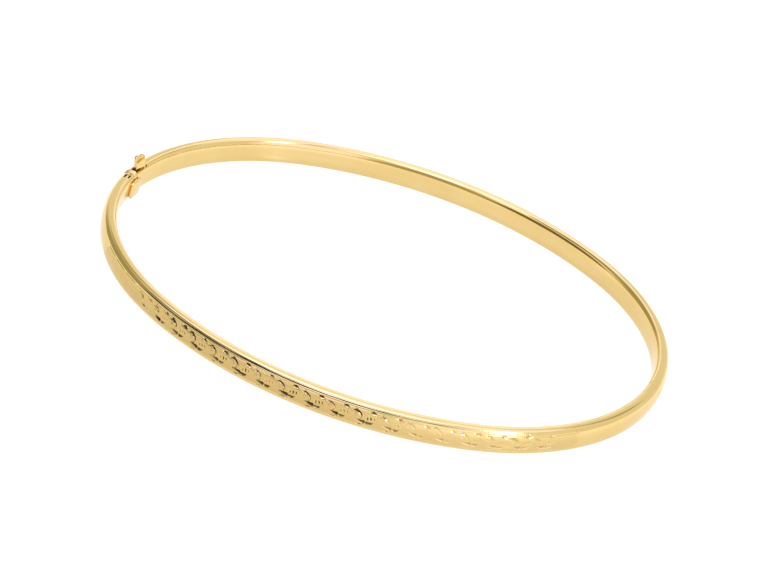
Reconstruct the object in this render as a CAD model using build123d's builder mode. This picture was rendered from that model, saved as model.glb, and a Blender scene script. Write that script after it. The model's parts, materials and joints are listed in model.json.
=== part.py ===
from build123d import *
import os
from math import atan2, cos, degrees, hypot, radians, sin, sqrt

# A hinged oval bangle bracelet made of two hollow half bands.
# The origin is the middle of the ring on the plane it lies on. The long way of the oval is X, and
# +Z points away from that plane. The front half is on the -Y side, and the rear half is on the +Y
# side. The hinge is at the +X end, and the clasp is at the -X end.
# In names, "depth" is measured from the band's outer face towards the wrist, and "run" is measured
# along the band from a seam, with the rear half on the positive side.

# Oval band
OPENING_LENGTH = 60.0
OPENING_WIDTH = 52.6
BAND_THICKNESS = 1.6
BAND_HEIGHT = 2.8
END_RADIUS = 26.5           # outer radius of the arcs at the hinge and at the clasp
CROWN_RADIUS = 3.0          # bulge of the outer face
SHOULDER_RADIUS = 0.7       # rounding from the outer face to the rims
INNER_EDGE_RADIUS = 0.42    # rounding from the rims to the wrist side
SHELL_WALL = 0.28
LINER_WALL = 0.3
SEAM = 0.04                 # gap between the two halves where they meet

# Hinge
PIVOT_DEPTH = 0.56
KNUCKLE_RADIUS = 0.52
RELIEF_RADIUS = 0.64        # round cut in both halves, which lets the hinge turn
PIN_RADIUS = 0.2
PIN_PLAY = 0.03
KNUCKLE_HEIGHT = 0.9        # middle knuckle
KNUCKLE_PLAY = 0.03
KNUCKLE_END_INSET = 0.04    # how far the outer knuckles stop short of the rims
ARM_DEPTHS = (0.4, 1.0)
HINGE_CAP_RUNS = (0.7, 1.0)
HINGE_END_RUNS = (-1.0, 1.0)  # stretch of both halves that trims the knuckles and the pin

# Clasp, fixed side
CLASP_END = 1.0             # reach past the seam of the cutters that trim clasp pieces
COLLAR_RUNS = (-0.78, -0.04)
COLLAR_GROOVE_RUNS = (-0.45, -0.37)
COLLAR_GROOVE_DEPTH = 0.07
WINDOW_DEPTHS = (0.5, 1.3)
WINDOW_HALF_HEIGHT = 1.02
FRONT_OPENING_DEPTHS = (0.58, 1.22)
FRONT_OPENING_RUNS = (-2.15, -1.35)
REAR_OPENING_DEPTHS = (0.58, 1.4)
REAR_OPENING_RUNS = (-0.1, 2.6)
NOTCH_DEPTHS = (1.0, 1.7)   # shallow step in the rear wrist strip, which the tab's foot passes over
NOTCH_DROP = 0.2
ANCHOR_RUNS = (-3.1, -2.4)
GUARD_RUNS = (-1.9, 0.45)
GUARD_HEIGHTS = (-1.15, 0.9)
GUARD_THICKNESS = 0.38
GUARD_CLEARANCE = 0.06
GUARD_CORNER = 0.42
LIP_RUNS = (0.04, 0.38)
LIP_DEPTH = 0.54
LIP_HALF_HEIGHT = 0.62
BOX_WALL_RUNS = (5.0, 5.3)

# Clasp, sprung tongue
LEAF = 0.18
BASE_DEPTH = 1.15
BASE_HEIGHTS = (-0.85, 0.95)
ROOT_DEPTH = 0.94
ROOT_THICKNESS = 0.28
ROOT_RUNS = (ANCHOR_RUNS[1], -0.95)
ROOT_DEPTHS = (ROOT_DEPTH - ROOT_THICKNESS / 2, ROOT_DEPTH + ROOT_THICKNESS / 2)
ROOT_HEIGHTS = (-1.0, 1.36)
FOLD_RUN = 4.3
FOLD_AXIS_DEPTH = 0.94
FOLD_AXIS_RUN = 4.12
LEAF_HEIGHTS = (-0.8, 1.0)
FREE_END_DEPTH = 0.78
FREE_END_RUN = 0.35
LUG_DEPTHS = (0.58, 0.72)
LUG_RUNS = (0.44, 0.8)
LUG_HALF_HEIGHT = 0.55
TAB_THICKNESS = 0.34
TAB_BASE = (1.14, 1.28)     # depth and run of the middle of the tab's plate, level with the rim
TAB_TURN = 17               # degrees that the plate's rear end is turned towards the wrist
TAB_LEAN = 19               # degrees that its top leans away from the wrist
TAB_RISE = 1.42             # length of the plate above the rim
TAB_DROP = 0.08             # and below it
TAB_BASE_WIDTH = 1.66
TAB_LOBE_RADIUS = 0.38
TAB_LOBE_OFFSETS = (-0.34, 0.42)
TAB_DIP = 0.18              # how far the notch between the lobes goes down
TAB_EDGE = 0.07
TAB_FOOT_DEPTHS = (0.8, 1.1)
TAB_FOOT_RUNS = (0.55, 1.95)
TAB_FOOT_RISE = 0.04        # how far the foot stands above the rim

# The outer outline: four tangent arcs
HALF_LENGTH = OPENING_LENGTH / 2 + BAND_THICKNESS
HALF_WIDTH = OPENING_WIDTH / 2 + BAND_THICKNESS
END_OFFSET = HALF_LENGTH - END_RADIUS
SIDE_RADIUS = (END_OFFSET**2 + HALF_WIDTH**2 - END_RADIUS**2) / (2 * (HALF_WIDTH - END_RADIUS))
SIDE_OFFSET = SIDE_RADIUS - HALF_WIDTH
JOIN_ANGLE = degrees(atan2(SIDE_OFFSET, END_OFFSET))

# The D-shaped section
MIDDLE = BAND_HEIGHT / 2
FULL_HEIGHTS = (-MIDDLE, MIDDLE)
SPLIT_DEPTH = BAND_THICKNESS - LINER_WALL
CAVITY_TOP = BAND_HEIGHT - SHELL_WALL
SHOULDER_RISE = MIDDLE - SHOULDER_RADIUS
SHOULDER_SHIFT = sqrt((CROWN_RADIUS - SHOULDER_RADIUS) ** 2 - SHOULDER_RISE**2)
CROWN_ANGLE = degrees(atan2(SHOULDER_RISE, SHOULDER_SHIFT))

PIVOT = (HALF_LENGTH - PIVOT_DEPTH, 0)
CLASP_CENTRE = (-END_OFFSET, 0)
HINGE_CENTRE = (END_OFFSET, 0)


def run_angle(run):
    """Degrees that a distance along the band takes up on an end arc."""
    return degrees(run / END_RADIUS)


def outer_face_lines(radius, inset, back_depth):
    """Rims, shoulders and crown of the section, moved inwards by inset, in the open line context."""
    crown_x = radius - CROWN_RADIUS
    shoulder_x = crown_x + SHOULDER_SHIFT
    back_x = radius - back_depth
    quarter = 90 - CROWN_ANGLE
    shoulder = SHOULDER_RADIUS - inset
    return [
        Line((back_x, BAND_HEIGHT - inset), (shoulder_x, BAND_HEIGHT - inset)),
        CenterArc((shoulder_x, BAND_HEIGHT - SHOULDER_RADIUS), shoulder, CROWN_ANGLE, quarter),
        CenterArc((crown_x, MIDDLE), CROWN_RADIUS - inset, -CROWN_ANGLE, 2 * CROWN_ANGLE),
        CenterArc((shoulder_x, SHOULDER_RADIUS), shoulder, -90, quarter),
        Line((back_x, inset), (shoulder_x, inset)),
    ]


def closed_section(radius, inset, back_depth):
    """Section filled from the outer face, less the inset, to a flat back."""
    with BuildSketch() as section:
        with BuildLine():
            outer_face_lines(radius, inset, back_depth)
            Line((radius - back_depth, inset), (radius - back_depth, BAND_HEIGHT - inset))
        make_face()
    return section.sketch


def cavity_section(radius):
    return closed_section(radius, SHELL_WALL, SPLIT_DEPTH)


def whole_section(radius):
    """The band's full outline, as if it were solid, with its wrist-side edges rounded."""
    with BuildSketch() as section:
        add(closed_section(radius, 0, BAND_THICKNESS))
        wrist_side = section.vertices().group_by(Axis.X)[0]
        fillet(wrist_side, INNER_EDGE_RADIUS)
    return section.sketch


def liner_zone(radius):
    """The part of the section on the wrist side of the split."""
    with BuildSketch() as zone:
        with Locations((radius - BAND_THICKNESS + LINER_WALL / 2, MIDDLE)):
            Rectangle(LINER_WALL, BAND_HEIGHT)
    return zone.sketch


def shell_section(radius):
    """Open channel: crown, shoulders and rims."""
    with BuildSketch() as section:
        add(whole_section(radius))
        add(liner_zone(radius), mode=Mode.SUBTRACT)
        add(cavity_section(radius), mode=Mode.SUBTRACT)
    return section.sketch


def liner_section(radius):
    """Strip that closes the channel on the wrist side."""
    with BuildSketch() as section:
        add(whole_section(radius))
        add(liner_zone(radius), mode=Mode.INTERSECT)
    return section.sketch


def radial_plane(centre, angle):
    """Upright plane through an arc's centre, with its X axis pointing out at that angle."""
    turn = radians(angle)
    return Plane(origin=(*centre, 0), x_dir=(cos(turn), sin(turn), 0), z_dir=(sin(turn), -cos(turn), 0))


def vertical_axis(centre):
    return Axis((*centre, 0), (0, 0, 1))


def half_arcs(side, hinge_gap, clasp_gap):
    """Centre, outer radius, first angle and sweep of the three arcs of the half on that side of Y."""
    first_gap = hinge_gap if side > 0 else clasp_gap
    last_gap = clasp_gap if side > 0 else hinge_gap
    turn = 0 if side > 0 else 180
    first = run_angle(first_gap)
    last = run_angle(last_gap)
    return [
        ((side * END_OFFSET, 0), END_RADIUS, turn + first, JOIN_ANGLE - first),
        ((0, -side * SIDE_OFFSET), SIDE_RADIUS, turn + JOIN_ANGLE, 180 - 2 * JOIN_ANGLE),
        ((-side * END_OFFSET, 0), END_RADIUS, turn + 180 - JOIN_ANGLE, JOIN_ANGLE - last),
    ]


def end_piece(section, centre, runs):
    """Solid of a section carried along an end arc, between two runs."""
    middle_angle = 180 if centre == CLASP_CENTRE else 0
    sense = -1 if centre == CLASP_CENTRE else 1
    angles = sorted(middle_angle + sense * run_angle(run) for run in runs)
    with BuildPart() as piece:
        with BuildSketch(radial_plane(centre, angles[0])):
            add(section(END_RADIUS))
        revolve(axis=vertical_axis(centre), revolution_arc=angles[1] - angles[0])
    return piece.part


def clasp_block(depths, runs, heights):
    """Solid block of the clasp end between two depths, runs and heights about the mid-height."""
    span = run_angle(runs[1] - runs[0])
    first = 180 - run_angle(runs[1])
    with BuildPart() as block:
        with BuildSketch(Plane.XY.offset(MIDDLE + heights[0])):
            with BuildLine():
                outer = CenterArc(CLASP_CENTRE, END_RADIUS - depths[0], first, span)
                inner = CenterArc(CLASP_CENTRE, END_RADIUS - depths[1], first, span)
                Line(outer @ 0, inner @ 0)
                Line(outer @ 1, inner @ 1)
            make_face()
        extrude(amount=heights[1] - heights[0])
    return block.part


def rim_opening(depths, runs):
    """Cutter for an opening in the upper rim, through the shell's wall only."""
    return clasp_block(depths, runs, (CAVITY_TOP - MIDDLE - SHELL_WALL, BAND_HEIGHT))


def half_band(section, side, clasp_gap):
    """A section carried along the three arcs of one half."""
    with BuildPart() as band:
        for centre, radius, first_angle, sweep_angle in half_arcs(side, SEAM / 2, clasp_gap):
            with BuildSketch(radial_plane(centre, first_angle)):
                add(section(radius))
            revolve(axis=vertical_axis(centre), revolution_arc=sweep_angle)
    return band.part


def clasp_x(depth):
    """X of a straight clasp piece at a depth from the band's outermost point."""
    return -HALF_LENGTH + depth


def hinge_relief():
    with BuildPart() as relief:
        with Locations((*PIVOT, MIDDLE)):
            Cylinder(RELIEF_RADIUS, 2 * BAND_HEIGHT)
    return relief.part


def knuckle(side, heights, bore_radius):
    """Barrel on the hinge axis, trimmed to the band, with an arm inside the tube to the hinge cap."""
    height = heights[1] - heights[0]
    arm_length = HINGE_CAP_RUNS[0]
    arm_middle = HALF_LENGTH - sum(ARM_DEPTHS) / 2
    with BuildPart() as arm:
        with BuildSketch(Plane.XY.offset(MIDDLE + heights[0])):
            with Locations((arm_middle, side * arm_length / 2)):
                Rectangle(ARM_DEPTHS[1] - ARM_DEPTHS[0], arm_length)
        extrude(amount=height)
        add(end_piece(cavity_section, HINGE_CENTRE, HINGE_END_RUNS), mode=Mode.INTERSECT)
    with BuildPart() as piece:
        with BuildSketch(Plane.XY.offset(MIDDLE + heights[0])):
            with Locations(PIVOT):
                Circle(KNUCKLE_RADIUS)
        extrude(amount=height)
        add(end_piece(whole_section, HINGE_CENTRE, HINGE_END_RUNS), mode=Mode.INTERSECT)
        add(arm.part)
        with Locations((*PIVOT, MIDDLE)):
            Cylinder(bore_radius, 2 * BAND_HEIGHT, mode=Mode.SUBTRACT)
    return piece.part


os.makedirs("parts", exist_ok=True)

# Front half band, with the slot that the tongue's root is set in
with BuildPart() as front_shell:
    add(half_band(shell_section, -1, -COLLAR_RUNS[0]))
    add(hinge_relief(), mode=Mode.SUBTRACT)
    add(rim_opening(FRONT_OPENING_DEPTHS, FRONT_OPENING_RUNS), mode=Mode.SUBTRACT)
    add(rim_opening(ROOT_DEPTHS, (ROOT_RUNS[0], 0)), mode=Mode.SUBTRACT)
front_shell.part.label = "front_shell"
export_step(front_shell.part, "parts/front_shell.step")

with BuildPart() as front_liner:
    add(half_band(liner_section, -1, -COLLAR_RUNS[0]))
front_liner.part.label = "front_liner"
export_step(front_liner.part, "parts/front_liner.step")

# Rear half band, with the thumb tab's opening in its upper rim
with BuildPart() as rear_shell:
    add(half_band(shell_section, 1, SEAM / 2))
    add(hinge_relief(), mode=Mode.SUBTRACT)
    add(rim_opening(REAR_OPENING_DEPTHS, REAR_OPENING_RUNS), mode=Mode.SUBTRACT)
rear_shell.part.label = "rear_shell"
export_step(rear_shell.part, "parts/rear_shell.step")

with BuildPart() as rear_liner:
    add(half_band(liner_section, 1, SEAM / 2))
    add(clasp_block(NOTCH_DEPTHS, REAR_OPENING_RUNS, (MIDDLE - NOTCH_DROP, MIDDLE)), mode=Mode.SUBTRACT)
rear_liner.part.label = "rear_liner"
export_step(rear_liner.part, "parts/rear_liner.step")

# Hinge: a cap closes each tube, and carries that half's knuckles
with BuildPart() as front_hinge_cap:
    add(end_piece(cavity_section, HINGE_CENTRE, (-HINGE_CAP_RUNS[1], -HINGE_CAP_RUNS[0])))
front_hinge_cap.part.label = "front_hinge_cap"
export_step(front_hinge_cap.part, "parts/front_hinge_cap.step")

with BuildPart() as rear_hinge_cap:
    add(end_piece(cavity_section, HINGE_CENTRE, HINGE_CAP_RUNS))
rear_hinge_cap.part.label = "rear_hinge_cap"
export_step(rear_hinge_cap.part, "parts/rear_hinge_cap.step")

with BuildPart() as front_knuckle:
    add(knuckle(-1, (-KNUCKLE_HEIGHT / 2, KNUCKLE_HEIGHT / 2), PIN_RADIUS + PIN_PLAY))
front_knuckle.part.label = "front_knuckle"
export_step(front_knuckle.part, "parts/front_knuckle.step")

OUTER_KNUCKLE = (KNUCKLE_HEIGHT / 2 + KNUCKLE_PLAY, MIDDLE - KNUCKLE_END_INSET)

with BuildPart() as rear_knuckle_upper:
    add(knuckle(1, OUTER_KNUCKLE, PIN_RADIUS))
rear_knuckle_upper.part.label = "rear_knuckle_upper"
export_step(rear_knuckle_upper.part, "parts/rear_knuckle_upper.step")

with BuildPart() as rear_knuckle_lower:
    add(knuckle(1, (-OUTER_KNUCKLE[1], -OUTER_KNUCKLE[0]), PIN_RADIUS))
rear_knuckle_lower.part.label = "rear_knuckle_lower"
export_step(rear_knuckle_lower.part, "parts/rear_knuckle_lower.step")

with BuildPart() as hinge_pin:
    with Locations((*PIVOT, MIDDLE)):
        Cylinder(PIN_RADIUS, 2 * OUTER_KNUCKLE[1])
    add(end_piece(whole_section, HINGE_CENTRE, HINGE_END_RUNS), mode=Mode.INTERSECT)
hinge_pin.part.label = "hinge_pin"
export_step(hinge_pin.part, "parts/hinge_pin.step")

# Clasp end of the front half: grooved collar, tongue anchor and guard plate over the seam
with BuildPart() as front_clasp_collar:
    add(end_piece(whole_section, CLASP_CENTRE, COLLAR_RUNS))
    window_heights = (-WINDOW_HALF_HEIGHT, WINDOW_HALF_HEIGHT)
    groove_heights = (MIDDLE - COLLAR_GROOVE_DEPTH, MIDDLE)
    add(clasp_block(WINDOW_DEPTHS, (-CLASP_END, CLASP_END), window_heights), mode=Mode.SUBTRACT)
    add(clasp_block((-CLASP_END, BAND_THICKNESS), COLLAR_GROOVE_RUNS, groove_heights), mode=Mode.SUBTRACT)
    side_groove_depths = (-CLASP_END, COLLAR_GROOVE_DEPTH)
    add(clasp_block(side_groove_depths, COLLAR_GROOVE_RUNS, FULL_HEIGHTS), mode=Mode.SUBTRACT)
front_clasp_collar.part.label = "front_clasp_collar"
export_step(front_clasp_collar.part, "parts/front_clasp_collar.step")

with BuildPart() as tongue_anchor:
    add(end_piece(cavity_section, CLASP_CENTRE, ANCHOR_RUNS))
tongue_anchor.part.label = "tongue_anchor"
export_step(tongue_anchor.part, "parts/tongue_anchor.step")

with BuildPart() as guard_plate:
    add(clasp_block((BAND_THICKNESS, BAND_THICKNESS + GUARD_THICKNESS), GUARD_RUNS, GUARD_HEIGHTS))
    clearance_depths = (BAND_THICKNESS, BAND_THICKNESS + GUARD_CLEARANCE)
    add(clasp_block(clearance_depths, (-SEAM, CLASP_END), FULL_HEIGHTS), mode=Mode.SUBTRACT)
    with BuildSketch(Plane.YZ.offset(clasp_x(0))):
        with Locations((sum(GUARD_RUNS) / 2, MIDDLE + sum(GUARD_HEIGHTS) / 2)):
            guard_length = GUARD_RUNS[1] - GUARD_RUNS[0]
            RectangleRounded(guard_length, GUARD_HEIGHTS[1] - GUARD_HEIGHTS[0], GUARD_CORNER)
    extrude(amount=2 * BAND_THICKNESS, mode=Mode.INTERSECT)
guard_plate.part.label = "guard_plate"
export_step(guard_plate.part, "parts/guard_plate.step")

# Tongue: a fixed leaf runs into the rear half and folds back into the free leaf
with BuildPart() as tongue_base:
    with BuildSketch(Plane.XY.offset(MIDDLE + BASE_HEIGHTS[0])):
        with BuildLine():
            fold_radius = (BASE_DEPTH - FOLD_AXIS_DEPTH) / 2
            Polyline(
                (clasp_x(ROOT_DEPTH), ROOT_RUNS[0]),
                (clasp_x(ROOT_DEPTH), ROOT_RUNS[1]),
                (clasp_x(BASE_DEPTH), 0),
                (clasp_x(BASE_DEPTH), FOLD_RUN),
            )
            CenterArc((clasp_x(BASE_DEPTH - fold_radius), FOLD_RUN), fold_radius, 0, 180)
        trace(line_width=LEAF)
    extrude(amount=BASE_HEIGHTS[1] - BASE_HEIGHTS[0])
    with BuildSketch(Plane.XY.offset(MIDDLE + ROOT_HEIGHTS[0])):
        with Locations((clasp_x(ROOT_DEPTH), sum(ROOT_RUNS) / 2)):
            Rectangle(ROOT_THICKNESS, ROOT_RUNS[1] - ROOT_RUNS[0])
    extrude(amount=ROOT_HEIGHTS[1] - ROOT_HEIGHTS[0])
    add(clasp_block((0, BAND_THICKNESS), ANCHOR_RUNS, FULL_HEIGHTS), mode=Mode.SUBTRACT)
tongue_base.part.label = "tongue_base"
export_step(tongue_base.part, "parts/tongue_base.step")

leaf_rise = FOLD_AXIS_DEPTH - FREE_END_DEPTH
leaf_run = FOLD_AXIS_RUN - FREE_END_RUN
with BuildPart() as tongue_leaf:
    with BuildSketch(Plane.XY.offset(MIDDLE + LEAF_HEIGHTS[0])):
        with Locations((clasp_x(FREE_END_DEPTH + leaf_rise / 2), FREE_END_RUN + leaf_run / 2)):
            leaf_angle = degrees(atan2(leaf_run, leaf_rise))
            SlotCenterToCenter(hypot(leaf_rise, leaf_run), LEAF, rotation=leaf_angle)
    extrude(amount=LEAF_HEIGHTS[1] - LEAF_HEIGHTS[0])
tongue_leaf.part.label = "tongue_leaf"
export_step(tongue_leaf.part, "parts/tongue_leaf.step")

with BuildPart() as catch_lug:
    with Locations((clasp_x(sum(LUG_DEPTHS) / 2), sum(LUG_RUNS) / 2, MIDDLE)):
        Box(LUG_DEPTHS[1] - LUG_DEPTHS[0], LUG_RUNS[1] - LUG_RUNS[0], 2 * LUG_HALF_HEIGHT)
    add(tongue_leaf.part, mode=Mode.SUBTRACT)
catch_lug.part.label = "catch_lug"
export_step(catch_lug.part, "parts/catch_lug.step")

turn = radians(TAB_TURN)
lean = radians(TAB_LEAN)
tab_base = (clasp_x(TAB_BASE[0]), TAB_BASE[1], BAND_HEIGHT)
tab_across = (sin(turn), cos(turn), 0)
tab_normal = (cos(turn) * cos(lean), -sin(turn) * cos(lean), sin(lean))
tab_plane = Plane(origin=tab_base, x_dir=tab_across, z_dir=tab_normal)
lobe_rise = TAB_RISE - TAB_LOBE_RADIUS
half_base = TAB_BASE_WIDTH / 2
with BuildPart() as thumb_tab:
    with BuildSketch(tab_plane):
        with Locations(*[(offset, lobe_rise) for offset in TAB_LOBE_OFFSETS]):
            Circle(TAB_LOBE_RADIUS)
        with BuildLine():
            Polyline(
                (-half_base, -TAB_DROP),
                (TAB_LOBE_OFFSETS[0] - TAB_LOBE_RADIUS, lobe_rise),
                (TAB_LOBE_OFFSETS[0], TAB_RISE - TAB_DIP),
                (TAB_LOBE_OFFSETS[1], TAB_RISE - TAB_DIP),
                (TAB_LOBE_OFFSETS[1] + TAB_LOBE_RADIUS, lobe_rise),
                (half_base, -TAB_DROP),
                close=True,
            )
        make_face()
    extrude(amount=TAB_THICKNESS / 2, both=True)
    chamfer(thumb_tab.faces().filter_by(tab_plane).edges(), TAB_EDGE)
    foot_top = MIDDLE + TAB_FOOT_RISE
    add(clasp_block(TAB_FOOT_DEPTHS, TAB_FOOT_RUNS, (LEAF_HEIGHTS[1], foot_top)))
thumb_tab.part.label = "thumb_tab"
export_step(thumb_tab.part, "parts/thumb_tab.step")

# Clasp end of the rear half: the lip that the lug catches, and the wall behind the tongue
with BuildPart() as catch_lip:
    add(end_piece(cavity_section, CLASP_CENTRE, LIP_RUNS))
    lip_heights = (-LIP_HALF_HEIGHT, LIP_HALF_HEIGHT)
    add(clasp_block((0, LIP_DEPTH), (-CLASP_END, CLASP_END), lip_heights), mode=Mode.INTERSECT)
catch_lip.part.label = "catch_lip"
export_step(catch_lip.part, "parts/catch_lip.step")

with BuildPart() as rear_box_wall:
    add(end_piece(cavity_section, CLASP_CENTRE, BOX_WALL_RUNS))
rear_box_wall.part.label = "rear_box_wall"
export_step(rear_box_wall.part, "parts/rear_box_wall.step")

print("side radius", round(SIDE_RADIUS, 3), "join angle", round(JOIN_ANGLE, 2))
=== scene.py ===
import json
from math import asin, atan2, cos, pi, radians, sin, sqrt, tau

import bmesh
import bpy
import numpy as np
from mathutils import Matrix, Quaternion, Vector


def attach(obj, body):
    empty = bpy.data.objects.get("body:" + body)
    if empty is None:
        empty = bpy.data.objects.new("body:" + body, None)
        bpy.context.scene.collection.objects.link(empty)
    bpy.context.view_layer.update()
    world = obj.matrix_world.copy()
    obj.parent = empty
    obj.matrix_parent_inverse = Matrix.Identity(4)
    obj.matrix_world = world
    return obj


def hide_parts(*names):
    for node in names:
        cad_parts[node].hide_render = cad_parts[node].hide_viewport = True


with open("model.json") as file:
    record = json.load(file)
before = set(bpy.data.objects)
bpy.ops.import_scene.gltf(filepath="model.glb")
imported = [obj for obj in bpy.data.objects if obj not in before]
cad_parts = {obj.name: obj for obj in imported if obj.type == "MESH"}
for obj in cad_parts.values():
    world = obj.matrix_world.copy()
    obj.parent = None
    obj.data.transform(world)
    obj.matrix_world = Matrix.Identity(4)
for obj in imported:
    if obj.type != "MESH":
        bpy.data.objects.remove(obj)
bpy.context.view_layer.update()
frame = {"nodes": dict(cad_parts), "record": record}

# A hinged gold bangle. Lengths are in millimetres until a mesh is made, and MM turns them into metres.
# "Depth" is measured from the band's outer face towards the wrist. "Run" is measured along the outer
# outline from the clasp seam: the front half (-Y) and the rear half (+Y) both start there.

MM = 0.001

# The band's driving dimensions
HALF_LENGTH = 31.6
HALF_WIDTH = 27.9
END_RADIUS = 26.5
THICKNESS = 1.6
HEIGHT = 2.8
CROWN_RADIUS = 3.0
SHOULDER_RADIUS = 0.7
INNER_EDGE_RADIUS = 0.42
SHELL_WALL = 0.28
LINER_WALL = 0.3
SEAM = 0.04

END_OFFSET = HALF_LENGTH - END_RADIUS
SIDE_RADIUS = (END_OFFSET**2 + HALF_WIDTH**2 - END_RADIUS**2) / (2 * (HALF_WIDTH - END_RADIUS))
SIDE_OFFSET = SIDE_RADIUS - HALF_WIDTH
JOIN_ANGLE = atan2(SIDE_OFFSET, END_OFFSET)
END_RUN = END_RADIUS * JOIN_ANGLE
SIDE_RUN = SIDE_RADIUS * (pi - 2 * JOIN_ANGLE)
HALF_RUN = 2 * END_RUN + SIDE_RUN

MIDDLE = HEIGHT / 2
SPLIT_DEPTH = THICKNESS - LINER_WALL
SHOULDER_RISE = MIDDLE - SHOULDER_RADIUS
SHOULDER_SHIFT = sqrt((CROWN_RADIUS - SHOULDER_RADIUS) ** 2 - SHOULDER_RISE**2)
SHOULDER_DEPTH = CROWN_RADIUS - SHOULDER_SHIFT
CROWN_ANGLE = atan2(SHOULDER_RISE, SHOULDER_SHIFT)
EDGE_DEPTH = THICKNESS - INNER_EDGE_RADIUS
EDGE_DROP = 1.0               # how far down the soft rounding of the wrist-side edges reaches
SPLIT_ANGLE = asin((SPLIT_DEPTH - EDGE_DEPTH) / INNER_EDGE_RADIUS)

FRONT = -1
REAR = 1


# ---------------------------------------------------------------- camera, floor and light

# The distance and the clipping are in metres, the lens and its sensor in camera millimetres
CAMERA_AZIMUTH = radians(12.6)
CAMERA_ELEVATION = radians(28.37)
CAMERA_ROLL = radians(-16.18)
CAMERA_DISTANCE = 0.3464
CAMERA_LENS = 151.3
CAMERA_SENSOR = 36.0
CAMERA_CLIP = (0.01, 10.0)
AIM_RIGHT = -0.22
AIM_UP = -0.2136


def make_camera():
    back = Vector((
        sin(CAMERA_AZIMUTH) * cos(CAMERA_ELEVATION),
        -cos(CAMERA_AZIMUTH) * cos(CAMERA_ELEVATION),
        sin(CAMERA_ELEVATION),
    ))
    right = (-back).cross(Vector((0, 0, 1))).normalized()
    up = right.cross(-back)
    roll = Quaternion(-back, CAMERA_ROLL)
    right, up = roll @ right, roll @ up
    aim = Vector((0, 0, MIDDLE * MM)) + right * AIM_RIGHT * MM + up * AIM_UP * MM
    camera = bpy.data.objects.new("camera", bpy.data.cameras.new("camera"))
    turned = Matrix((right, up, back)).transposed().to_4x4()
    camera.matrix_world = Matrix.Translation(aim + back * CAMERA_DISTANCE) @ turned
    camera.data.lens = CAMERA_LENS
    camera.data.sensor_width = CAMERA_SENSOR
    camera.data.clip_start, camera.data.clip_end = CAMERA_CLIP
    bpy.context.scene.collection.objects.link(camera)
    bpy.context.scene.camera = camera


def direction(azimuth, elevation):
    """Unit vector; azimuth 0 is +Y, behind the bangle, and 90 is +X."""
    azimuth, elevation = radians(azimuth), radians(elevation)
    return Vector((sin(azimuth) * cos(elevation), cos(azimuth) * cos(elevation), sin(elevation)))


# Name, azimuth, elevation, distance in metres, size, power and tint
SOFTBOXES = (
    ("key_softbox", 112, 42, 0.9, (0.16, 0.18), 1.3, (1, 1, 1)),
    ("back_panel", -12.5, 28.5, 0.45, (0.11, 0.14), 0.04, (0.5, 0.52, 1)),
    ("top_panel", -167, 75, 0.1365, (0.105, 0.056), 0.034, (0.85, 0.88, 1)),
)


def add_softbox(name, azimuth, elevation, distance, size, power, tint):
    light = bpy.data.lights.new(name, "AREA")
    light.shape = "RECTANGLE"
    light.size, light.size_y = size
    light.energy = power
    light.color = tint
    lamp = bpy.data.objects.new(name, light)
    away = direction(azimuth, elevation)
    lamp.location = away * distance
    lamp.rotation_mode = "QUATERNION"
    lamp.rotation_quaternion = away.to_track_quat("Z", "Y")
    bpy.context.scene.collection.objects.link(lamp)


# How bright the studio is by elevation in degrees, then soft-edged areas that differ from that. An area
# has an azimuth, an elevation, the angles at which it is whole and has faded out, and a brightness.
STUDIO_BY_ELEVATION = ((-90, 1.0), (0, 1.03), (34, 1.0), (48, 1.12), (60, 1.5), (90, 1.5))
STUDIO_AREAS = (
    (180, 0, 20, 30, 0.5),
    (-135, -3, 23, 30, 0.2),
    (-75, 20, 18, 34, 0.45),
    (180, 44, 11, 14, 2.0),
    (-150, 40, 8, 12, 1.8),
    (130, 16, 18, 28, 1.4),
    (-98, 46, 9, 13, 0.04),
    (-118, 48, 7.5, 11, 0.04),
    (-138, 55, 7.5, 11, 0.04),
    (-157, 63, 5, 8.5, 0.03),
    (180, 66, 5, 8.5, 0.03),
    (155, 66, 5, 8.5, 0.04),
    (130, 66, 6, 11, 0.3),
    (-38, 40, 6, 12, 0.5),
    (22, 42, 6, 12, 0.55),
)


SPARE_STOP = 0.5              # where a new stop of the ramp starts, before it gets its own place
STUDIO_GREEN = 1.01           # how much green there is for each part of red
DIM_WARMTH = 0.6              # how much of the blue goes with the light


def studio_colour(level):
    """Bright areas are slightly cool, and dim ones are warm like the gold that they are seen in."""
    blue = level * level if level > 1 else level * (1 - DIM_WARMTH + DIM_WARMTH * level)
    return (level, level * STUDIO_GREEN, blue, 1)


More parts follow.
